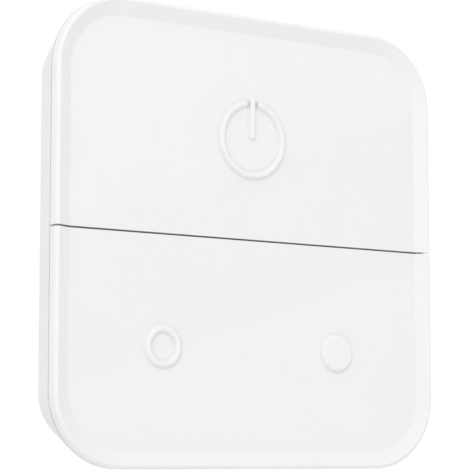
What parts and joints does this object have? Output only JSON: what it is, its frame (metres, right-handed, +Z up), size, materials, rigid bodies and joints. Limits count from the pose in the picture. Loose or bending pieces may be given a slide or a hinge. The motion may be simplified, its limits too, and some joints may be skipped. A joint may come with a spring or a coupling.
{
  "type": "wireless wall switch",
  "caption": "Square wireless wall switch with a dished front split into an upper power key and a lower rocker key, a tapered housing and a slide-on wall plate.",
  "frame": {"origin": "on the wall at the middle of the adhesive pad's outer face", "axes": "+X to the right, +Z up, the front faces -Y, +Y into the wall"},
  "size_m": [0.08, 0.0135, 0.08],
  "materials": {
    "key_plastic": "fine satin moulded white",
    "housing_plastic": "fine satin moulded white",
    "frame_plastic": "moulded white",
    "base_plastic": "moulded white",
    "button_plastic": "moulded pale grey",
    "foam": "adhesive foam",
    "cell_steel": "nickel plated",
    "contact_steel": "spring strip",
    "screw_steel": "zinc plated",
    "board": "solder mask",
    "chip": "moulded black",
    "ceramic": "fired ceramic"
  },
  "bodies": {
    "wall_plate": {"wall_plate": "base_plastic", "adhesive_pad": "foam"},
    "unit": {"rear_housing": "housing_plastic", "coin_cell": "cell_steel", "cell_contact_side": "contact_steel", "cell_contact_face": "contact_steel", "circuit_board": "board", "radio_chip": "chip", "crystal": "cell_steel", "chip_antenna": "ceramic", "board_capacitors": "ceramic", "radio_shield": "cell_steel", "snap_dome_upper": "contact_steel", "snap_dome_left": "contact_steel", "snap_dome_right": "contact_steel", "pairing_switch": "chip", "inner_frame": "frame_plastic", "frame_screws": "screw_steel"},
    "upper_key": {"upper_key": "key_plastic"},
    "lower_key": {"lower_key": "key_plastic"},
    "battery_cover": {"battery_cover": "housing_plastic"},
    "pairing_button": {"pairing_button": "button_plastic", "pairing_plunger": "button_plastic"}
  },
  "joints": [
    {"name": "unit_lift", "type": "slide", "parent": "wall_plate", "child": "unit", "axis": [0, 0, 1], "range_m": [0, 0.006]},
    {"name": "upper_key_press", "type": "hinge", "parent": "unit", "child": "upper_key", "pos_m": [0, -0.0097, 0.034], "axis": [1, 0, 0], "range_deg": [0, 0.45], "stiffness_Nm_per_rad": 4, "springref_deg": -0.52, "deforming": ["snap_dome_upper"]},
    {"name": "lower_key_rock", "type": "hinge", "parent": "unit", "child": "lower_key", "pos_m": [0, -0.0097, 0], "axis": [0, 0, 1], "range_deg": [-0.4, 0.4], "stiffness_Nm_per_rad": 9, "deforming": ["snap_dome_left", "snap_dome_right"]},
    {"name": "battery_cover_turn", "type": "hinge", "parent": "unit", "child": "battery_cover", "pos_m": [0, 0, 0], "axis": [0, 1, 0], "range_deg": [0, 45]},
    {"name": "pairing_button_press", "type": "slide", "parent": "unit", "child": "pairing_button", "axis": [0, -1, 0], "range_m": [0, 0.00025], "stiffness_N_per_m": 4000, "springref_m": -0.0002}
  ]
}
